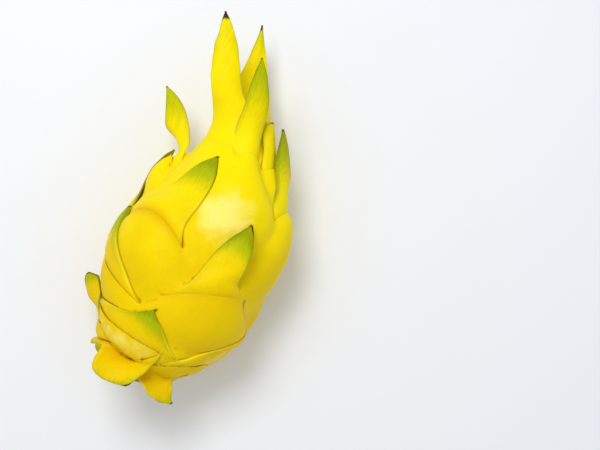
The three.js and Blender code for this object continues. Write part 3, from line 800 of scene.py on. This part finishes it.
# Fibres that run along the fruit, as in its leafy scales, the cut stem and the dry flower.
def makeFibres():
    group, start, end = newGroup("fibres", "Fibres", Fineness=900.0, Stretch=0.06)
    stretch = addNode(group, "ShaderNodeCombineXYZ")
    setInputs(stretch, X=1, Z=1)
    link(group, start["Stretch"], stretch.inputs["Y"])
    place = addNode(group, "ShaderNodeVectorMath", operation="MULTIPLY")
    link(group, start["Place"], place.inputs[0])
    link(group, stretch.outputs["Vector"], place.inputs[1])
    strands = noisy(group, place.outputs["Vector"], start["Fineness"], Detail=3.0, Roughness=0.5,
                    Distortion=0.3)
    link(group, strands, end)
    return group


# Pores and pale specks, each a little dot.
def makePores():
    group, start, end = newGroup("pores", "Pores", Closeness=700.0, Width=0.3)
    cells = addNode(group, "ShaderNodeTexVoronoi")
    link(group, start["Place"], cells.inputs["Vector"])
    link(group, start["Closeness"], cells.inputs["Scale"])
    link(group, stepped(group, cells.outputs["Distance"], 0, start["Width"], 1.0, 0.0), end)
    return group


patchesGroup, fibresGroup, poresGroup = makePatches(), makeFibres(), makePores()

# A pair of numbers is where a smooth step begins and ends: metres along the fruit in lemonFrom and
# amberUntil, and otherwise shares, such as of the way to a blade's margin or tip in the ridge and the rim.
rindFinish = {
    "yellow": (0.94, 0.69, 0.001), "amber": (0.84, 0.57, 0.001), "amberPatches": 0.75,
    "bright": (1.0, 0.79, 0.002), "brightBlotches": 0.25, "brightPores": 0.12,
    # lemon lightens the crown and amber darkens the stem end, partly the fruit's own tone and partly painted
    # light and shade.
    "lemon": (1.0, 0.84, 0.002), "lemonShare": 0.62, "lemonFrom": (0.0, 0.05),
    "amberShare": 0.6, "amberUntil": (-0.04, 0.01),
    # pale is the colour of the bloom and its painted highlight; fold is painted shade in the fold under a
    # root.
    "fold": (0.80, 0.47, 0.001), "pale": (1.0, 0.84, 0.17), "paleUneven": 0.12, "paleOver": (0.2, 0.95),
    "leafFibres": 0.045, "leafGreen": (0.43, 0.48, 0.002), "leafOver": (0.0, 0.76),
    "deepGreen": (0.19, 0.24, 0.003), "deepOver": (0.7, 1.25),
    # ridge lightens the blades' margins near the root, partly their own paler colour and partly a painted
    # highlight.
    "ridgeAndHighlight": (1.0, 0.85, 0.04), "ridgeShare": 0.5, "ridgeAcross": (0.8, 0.95), "ridgeFrom": (0.02, 0.18),
    "ridgeUntil": (0.3, 0.8), "olive": (0.15, 0.16, 0.003), "rimAcross": (0.86, 0.97), "rimFrom": (0.05, 0.3),
    # crease colours the seams, partly their own orange-brown lines and partly painted shade.
    "crease": (0.50, 0.19, 0.004), "brown": (0.055, 0.03, 0.012), "brownOver": (0.2, 0.8), "brownFibres": 0.2,
    "fibreLines": (0.45, 0.8), "fibreShare": 0.25,
    "roughness": 0.45, "coat": 0.01, "coatRoughness": 0.35, "specular": 0.04,
    "subsurface": 0.1, "subsurfaceRadius": (0.9, 0.6, 0.08), "subsurfaceScale": 0.004,
}


def makeRindMaterial():
    look = rindFinish
    material, tree, shader = newMaterial("rindSkin")
    place = addNode(tree, "ShaderNodeTexCoord").outputs["Object"]
    tipward, sideways, _ = channels(tree, "growth")
    green, brown, bloomAndHighlight = channels(tree, "tint")
    crease, rim, fold = channels(tree, "seam")
    patches = useGroup(tree, patchesGroup, place, Broad=45.0, Fine=260.0, Sharpness=0.16)
    blotches = useGroup(tree, patchesGroup, place, Broad=130.0, Fine=600.0, Sharpness=0.12)
    fibres = useGroup(tree, fibresGroup, place, Fineness=1100.0, Stretch=0.05)
    pores = useGroup(tree, poresGroup, place, Closeness=650.0, Width=0.34)
    split = addNode(tree, "ShaderNodeSeparateXYZ")
    link(tree, place, split.inputs["Vector"])
    alongFruit = split.outputs["Y"]

    # the skin: yellow with amber patches, lighter lemon towards the crown and amber towards the stem (partly
    # its own tone, partly painted light and shade), the painted shade in the folds and its bloom with a
    # painted highlight
    skin = mixed(tree, product(tree, patches, look["amberPatches"]), look["yellow"], look["amber"])
    skin = mixed(tree, product(tree, blotches, look["brightBlotches"]), skin, look["bright"])
    # painted light towards the crown and painted shade towards the stem, partly the fruit's own tone
    crownward = stepped(tree, alongFruit, *look["lemonFrom"], 0.0, look["lemonShare"])
    skin = mixed(tree, crownward, skin, look["lemon"])
    stemward = stepped(tree, alongFruit, *look["amberUntil"], look["amberShare"], 0.0)
    skin = mixed(tree, stemward, skin, look["amber"])
    # painted shade in the fold under each blade's root
    skin = mixed(tree, fold, skin, look["fold"])
    # the pale whitening, partly the waxy bloom and partly a painted highlight
    uneven = stepped(tree, blotches, 0.0, 1.0, -look["paleUneven"], look["paleUneven"])
    bloomAndHighlightShare = stepped(tree, worked(tree, "ADD", bloomAndHighlight, uneven), *look["paleOver"])
    skin = mixed(tree, bloomAndHighlightShare, skin, look["pale"])

    # the blades: green with fibres, a pale ridge along their first part (partly paler margin, partly painted
    # highlight) and a dark rim further out
    fibrous = stepped(tree, fibres, 0.35, 0.65, -look["leafFibres"], look["leafFibres"])
    leaf = worked(tree, "ADD", green, fibrous)
    skin = mixed(tree, stepped(tree, leaf, *look["leafOver"]), skin, look["leafGreen"])
    skin = mixed(tree, stepped(tree, leaf, *look["deepOver"]), skin, look["deepGreen"])
    untilTip = stepped(tree, tipward, *look["ridgeUntil"], 1.0, 0.0)
    ridgeAndHighlight = product(tree, stepped(tree, sideways, *look["ridgeAcross"]), untilTip)
    ridgeAndHighlight = product(tree, ridgeAndHighlight, stepped(tree, tipward, *look["ridgeFrom"], 0.0, look["ridgeShare"]))
    skin = mixed(tree, ridgeAndHighlight, skin, look["ridgeAndHighlight"])
    edge = product(tree, stepped(tree, sideways, *look["rimAcross"]), rim)
    skin = mixed(tree, product(tree, edge, stepped(tree, tipward, *look["rimFrom"])), skin, look["olive"])

    # what darkens it: the seams (their own lines and painted shade), the dry tips and the fibres, with light
    # pores
    seamLinesAndShade = product(tree, crease, stepped(tree, blotches, 0.2, 0.8, 0.4, 1.0))
    skin = mixed(tree, seamLinesAndShade, skin, look["crease"])
    frayed = stepped(tree, fibres, 0.3, 0.7, -look["brownFibres"], look["brownFibres"])
    withered = stepped(tree, worked(tree, "ADD", brown, frayed), *look["brownOver"])
    skin = mixed(tree, withered, skin, look["brown"])
    skin = mixed(tree, product(tree, pores, look["brightPores"]), skin, look["bright"])
    strands = stepped(tree, fibres, *look["fibreLines"])
    strands = product(tree, strands, product(tree, tipward, look["fibreShare"]))
    skin = mixed(tree, strands, skin, look["amber"], "MULTIPLY")
    link(tree, skin, shader.inputs["Base Color"])

    rough = stepped(tree, patches, 0.0, 1.0, look["roughness"] - 0.05, look["roughness"] + 0.08)
    link(tree, worked(tree, "ADD", rough, product(tree, brown, 0.3)), shader.inputs["Roughness"])
    setInputs(shader, Specular_IOR_Level=look["specular"], Coat_Weight=look["coat"],
              Coat_Roughness=look["coatRoughness"], Subsurface_Weight=look["subsurface"],
              Subsurface_Radius=look["subsurfaceRadius"], Subsurface_Scale=look["subsurfaceScale"])

    swell = bumped(tree, noisy(tree, place, 140.0, Detail=3.0), 0.35, 0.0012)
    texture = worked(tree, "ADD", pores, product(tree, fibres, tipward))
    grain = bumped(tree, texture, 0.12, 0.0003, invert=True)
    link(tree, swell.outputs["Normal"], grain.inputs["Normal"])
    link(tree, grain.outputs["Normal"], shader.inputs["Normal"])
    return material


# A piece rides on the fruit's one body, in the place of its solid.
def finish(piece, material, node):
    piece.data.materials.clear()
    piece.data.materials.append(material)
    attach(piece, "root")
    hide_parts(node)
    print(piece.name, "finished:", len(piece.data.polygons), "faces")


finish(growRind(), makeRindMaterial(), "fruit")


# Rings extruded one after another along Y, each a radius and a level, then closed at both ends.
def ringed(name, rings, sides):
    deselectAll()
    firstRadius, firstLevel = rings[0]
    bpy.ops.mesh.primitive_circle_add(vertices=sides, radius=firstRadius, fill_type="NGON",
                                      location=(0, firstLevel, 0), rotation=(math.pi / 2, 0, 0))
    bpy.ops.object.transform_apply(location=True, rotation=True)
    bpy.ops.object.mode_set(mode="EDIT")
    bpy.ops.mesh.select_all(action="SELECT")
    for (radius, level), (nextRadius, nextLevel) in zip(rings, rings[1:]):
        bpy.ops.mesh.extrude_region_move(TRANSFORM_OT_translate={"value": (0, nextLevel - level, 0)})
        grown = nextRadius / radius
        bpy.ops.transform.resize(value=(grown, 1, grown), center_override=(0, nextLevel, 0))
    bpy.ops.mesh.select_all(action="DESELECT")
    bpy.ops.mesh.select_non_manifold()
    if bpy.context.object.data.total_edge_sel:
        bpy.ops.mesh.edge_face_add()
    piece = bpy.context.object
    faceOutwards(piece)
    piece.name = piece.data.name = name
    return piece


def noiseAt(points, pitch, seed):
    return np.array([noise.noise(Vector(point / pitch) + Vector((seed, 0, 0))) for point in points])


# Rings about Y scaled across it, by a factor for each point.
def scaledAcross(points, factor):
    return points * np.stack([factor, np.ones(len(points)), factor], axis=-1)


# From rings about Y to the fruit's own curved axis.
def seated(points):
    sway = bodySway(points[:, 1])
    return points + np.stack([sway, np.zeros(len(sway)), np.full(len(sway), body["height"])], axis=-1)


# A stump of three-ribbed stem, broken off, with a sunken pith inside a ring of wood. Its rings are radius
# and level.
stub = {
    "sides": 48, "ribs": 3, "ribDepth": 0.10, "ribsOver": (0.002, 0.005),
    "grain": 0.00012, "grainPitch": 0.0012,
    "rings": [(0.0056, -0.0609), (0.0060, -0.0617), (0.0056, -0.0629), (0.0053, -0.0641), (0.0056, -0.0654),
              (0.0061, -0.0662), (0.0061, -0.0667), (0.0056, -0.0670), (0.0049, -0.0669), (0.0046, -0.0666),
              (0.0039, -0.0667), (0.0032, -0.0668), (0.0026, -0.0667), (0.0023, -0.0662), (0.0015, -0.0660),
              (0.0005, -0.0661)],
    "cutLevel": (0.0662, 0.0667), "cutWithin": (0.0056, 0.0061), "woodRing": 0.0036, "woodWidth": 0.0006,
    "woodRough": 2.5,
}


def growStub():
    piece = ringed("cutStem", stub["rings"], stub["sides"])
    applyModifier(piece, "SUBSURF", levels=2)
    points = pointsOf(piece)
    around = np.arctan2(points[:, 2], points[:, 0])
    radius = np.hypot(points[:, 0], points[:, 2])
    cut = ease(-points[:, 1], *stub["cutLevel"]) * (1 - ease(radius, *stub["cutWithin"]))
    grooved = 0.5 + 0.5 * np.cos(stub["ribs"] * around)
    rough = noiseAt(points, stub["grainPitch"], 4) * stub["grain"]
    ring = bell(radius - stub["woodRing"], stub["woodWidth"]) * cut
    points = scaledAcross(points, 1 - stub["ribDepth"] * grooved * ease(radius, *stub["ribsOver"]))
    points[:, 1] -= rough * (1 + stub["woodRough"] * ring) * cut
    points[:, [0, 2]] *= (1 + (1 - cut) * rough / np.maximum(radius, 0.001))[:, None]
    movePoints(piece, seated(points))
    paint(piece, "cut", cut, radius / stub["rings"][0][0], ring)
    shadeSmooth(piece)
    return piece


# What is left of the flower: a dry, folded cone with shrivelled petals at its mouth. Its rings are radius
# and level.
remnant = {
    "sides": 60, "folds": 7, "foldDepth": 0.30, "foldTurn": 150, "foldSharpness": 1.5,
    "foldOver": (0.0605, 0.068), "crumple": 0.0005, "crumplePitch": 0.0022, "fade": 0.4,
    "rings": [(0.0008, 0.0602), (0.0016, 0.0606), (0.0022, 0.0625), (0.0026, 0.0645), (0.0029, 0.0665),
              (0.0031, 0.0685), (0.0033, 0.0705), (0.0034, 0.0725), (0.0036, 0.0745), (0.0037, 0.0762),
              (0.0038, 0.0778), (0.0039, 0.0792), (0.0037, 0.0806), (0.0032, 0.0818), (0.0026, 0.0826),
              (0.0021, 0.0826), (0.0017, 0.0818), (0.0009, 0.0812)],
    "petals": 9, "petalLength": 0.0105, "petalWidth": 0.0030, "petalThickness": 0.0007, "petalRoot": 0.0790,
    "petalGrid": (6, 22), "petalOut": 0.0027, "petalSunk": 0.002, "petalCup": 300,
}


# The petals differ by sines of their number, so that no two are alike.
def growPetal(number):
    turn = 2 * math.pi * (number / remnant["petals"]) + 0.5 * math.sin(5.3 * number)
    length = remnant["petalLength"] * (0.75 + 0.25 * math.sin(2.1 * number + 1))
    petal, side, q, inner = newSlab(*remnant["petalGrid"])
    half = 0.5 * remnant["petalWidth"] * (1 - 0.75 * q ** 2) * (1 + 0.25 * waver(q * 0.01, number, 0.003))
    v = side * half
    bend = (1.1 + 0.5 * math.sin(3.7 * number)) * (1.6 * q - 0.75) + 0.4 * np.sin(7 * q + number)
    outward = remnant["petalOut"] + length * 0.22 * (1 - np.cos(bend))
    level = remnant["petalRoot"] - remnant["petalSunk"] + length * q * np.cos(0.45 * bend)
    roll = 0.9 * q * math.sin(1.9 * number + 0.7)
    thick = np.where(inner, -remnant["petalThickness"], 0)
    across = v * np.cos(roll) + thick * np.sin(roll)
    cupped = remnant["petalCup"] * v * v * (1 - q)
    outward = outward * (1 - 0.35 * q) + thick * np.cos(roll) - v * np.sin(roll) - cupped
    movePoints(petal, np.stack([
        outward * math.sin(turn) + across * math.cos(turn), level,
        outward * math.cos(turn) - across * math.sin(turn)], axis=-1))
    paint(petal, "dry", q, np.abs(side), 1)
    return petal


def growRemnant():
    piece = ringed("witheredFlower", remnant["rings"], remnant["sides"])
    applyModifier(piece, "SUBSURF", levels=1)
    points = pointsOf(piece)
    around = np.arctan2(points[:, 2], points[:, 0])
    share = ease(points[:, 1], *remnant["foldOver"])
    fold = 0.5 + 0.5 * np.sin(around * remnant["folds"] + remnant["foldTurn"] * (points[:, 1] - 0.06))
    points = scaledAcross(points, 1 - remnant["foldDepth"] * fold ** remnant["foldSharpness"] * share)
    crumple = noiseAt(points, remnant["crumplePitch"], 9) * remnant["crumple"]
    points[:, [0, 2]] *= (1 + crumple / np.maximum(np.hypot(points[:, 0], points[:, 2]), 0.001))[:, None]
    movePoints(piece, points)
    paint(piece, "dry", share * remnant["fade"], fold, 0)
    unite(piece, [growPetal(number) for number in range(remnant["petals"])])
    applyModifier(piece, "SMOOTH", factor=0.4, iterations=1)
    movePoints(piece, seated(pointsOf(piece)))
    shadeSmooth(piece)
    return piece


stubFinish = {
    "side": (0.34, 0.30, 0.07), "green": (0.16, 0.22, 0.03), "wood": (0.52, 0.36, 0.16),
    "pith": (0.72, 0.58, 0.36), "bundle": (0.20, 0.11, 0.04), "greenPatches": (0.2, 0.8),
    "woodFibres": (0.4, 0.7), "woodShare": 0.6,
    "pithWithin": (0.25, 0.5), "bundleShare": 0.35, "greenRim": (0.82, 1.0),
    "roughness": 0.8, "uneven": 0.1, "specular": 0.3,
}


def makeStubMaterial():
    look = stubFinish
    material, tree, shader = newMaterial("driedStem")
    place = addNode(tree, "ShaderNodeTexCoord").outputs["Object"]
    cut, outwards, ring = channels(tree, "cut")
    patches = useGroup(tree, patchesGroup, place, Broad=260.0, Fine=1100.0, Sharpness=0.18)
    fibres = useGroup(tree, fibresGroup, place, Fineness=1900.0, Stretch=0.08)
    bundles = useGroup(tree, poresGroup, place, Closeness=1500.0, Width=0.45)
    bark = mixed(tree, stepped(tree, patches, *look["greenPatches"]), look["side"], look["green"])
    bark = mixed(tree, stepped(tree, fibres, *look["woodFibres"], 0.0, look["woodShare"]), bark, look["wood"])
    face = mixed(tree, stepped(tree, outwards, *look["pithWithin"]), look["pith"], look["wood"])
    face = mixed(tree, product(tree, patches, look["bundleShare"]), face, look["bundle"])
    face = mixed(tree, product(tree, ring, bundles), face, look["bundle"])
    face = mixed(tree, stepped(tree, outwards, *look["greenRim"]), face, look["green"])
    link(tree, mixed(tree, cut, bark, face), shader.inputs["Base Color"])
    link(tree, unevenly(tree, patches, look), shader.inputs["Roughness"])
    setInputs(shader, Specular_IOR_Level=look["specular"])
    grain = bumped(tree, worked(tree, "ADD", fibres, product(tree, bundles, ring)), 0.5, 0.0003)
    link(tree, grain.outputs["Normal"], shader.inputs["Normal"])
    return material


remnantFinish = {
    "brown": (0.17, 0.085, 0.035), "dark": (0.045, 0.022, 0.012), "straw": (0.42, 0.27, 0.12),
    "darkPatches": (0.15, 0.85), "darkFolds": 0.5, "strawFibres": (0.45, 0.7), "strawShare": 0.6,
    "strawTips": 0.5,
    "roughness": 0.85, "uneven": 0.1, "specular": 0.25,
}


def makeRemnantMaterial():
    look = remnantFinish
    material, tree, shader = newMaterial("dryPetals")
    place = addNode(tree, "ShaderNodeTexCoord").outputs["Object"]
    tipward, folded, petal = channels(tree, "dry")
    patches = useGroup(tree, patchesGroup, place, Broad=300.0, Fine=1300.0, Sharpness=0.15)
    fibres = useGroup(tree, fibresGroup, place, Fineness=2600.0, Stretch=0.07)
    dry = mixed(tree, stepped(tree, patches, *look["darkPatches"]), look["brown"], look["dark"])
    dry = mixed(tree, product(tree, folded, look["darkFolds"]), dry, look["dark"])
    strands = product(tree, stepped(tree, fibres, *look["strawFibres"]), look["strawShare"])
    dry = mixed(tree, strands, dry, look["straw"])
    tips = product(tree, petal, stepped(tree, tipward, 0.5, 1.0, 0.0, look["strawTips"]))
    dry = mixed(tree, tips, dry, look["straw"])
    link(tree, dry, shader.inputs["Base Color"])
    link(tree, unevenly(tree, fibres, look), shader.inputs["Roughness"])
    setInputs(shader, Specular_IOR_Level=look["specular"])
    link(tree, bumped(tree, fibres, 0.6, 0.0003).outputs["Normal"], shader.inputs["Normal"])
    return material


finish(growStub(), makeStubMaterial(), "stem_stub")
finish(growRemnant(), makeRemnantMaterial(), "flower_remnant")

# The floor is pale, the world lights it softly all round, and the key is a lamp high up behind the crown.
studio = {
    "floor": (0.90, 0.915, 0.95), "floorSize": 4, "floorRoughness": 0.8, "world": (0.96, 0.98, 1.0),
    "worldStrength": 0.61, "keyPlace": (-0.20, 0.28, 0.80), "keyAim": (0, 0, 0.04), "keySize": 0.30,
    "keyPower": 3.5,
    "cameraPlace": (0.0460, 0.0323, 0.749), "cameraTurn": 18, "lens": 85, "sensor": 36,
}

deselectAll()
bpy.ops.mesh.primitive_plane_add(size=studio["floorSize"])
floor = bpy.context.object
floor.name = floor.data.name = "floor"
floorPaint, _, floorShader = newMaterial("floorPaint")
setInputs(floorShader, Base_Color=(*studio["floor"], 1), Roughness=studio["floorRoughness"])
floor.data.materials.append(floorPaint)

world = bpy.data.worlds.new("studio")
bpy.context.scene.world = world
world.use_nodes = True
setInputs(world.node_tree.nodes["Background"], Color=(*studio["world"], 1), Strength=studio["worldStrength"])

deselectAll()
bpy.ops.object.light_add(type="AREA", location=studio["keyPlace"])
key = bpy.context.object
key.data.size = studio["keySize"]
key.data.energy = studio["keyPower"]
key.rotation_euler = (Vector(studio["keyAim"]) - key.location).to_track_quat("-Z", "Y").to_euler()

# The camera looks straight down, turned a little.
bpy.ops.object.camera_add(location=studio["cameraPlace"], rotation=(0, 0, math.radians(studio["cameraTurn"])))
camera = bpy.context.object
camera.data.lens = studio["lens"]
camera.data.sensor_width = studio["sensor"]
camera.data.clip_start = 0.01
bpy.context.scene.camera = camera
bpy.context.scene.view_settings.view_transform = "Standard"
print("studio ready")
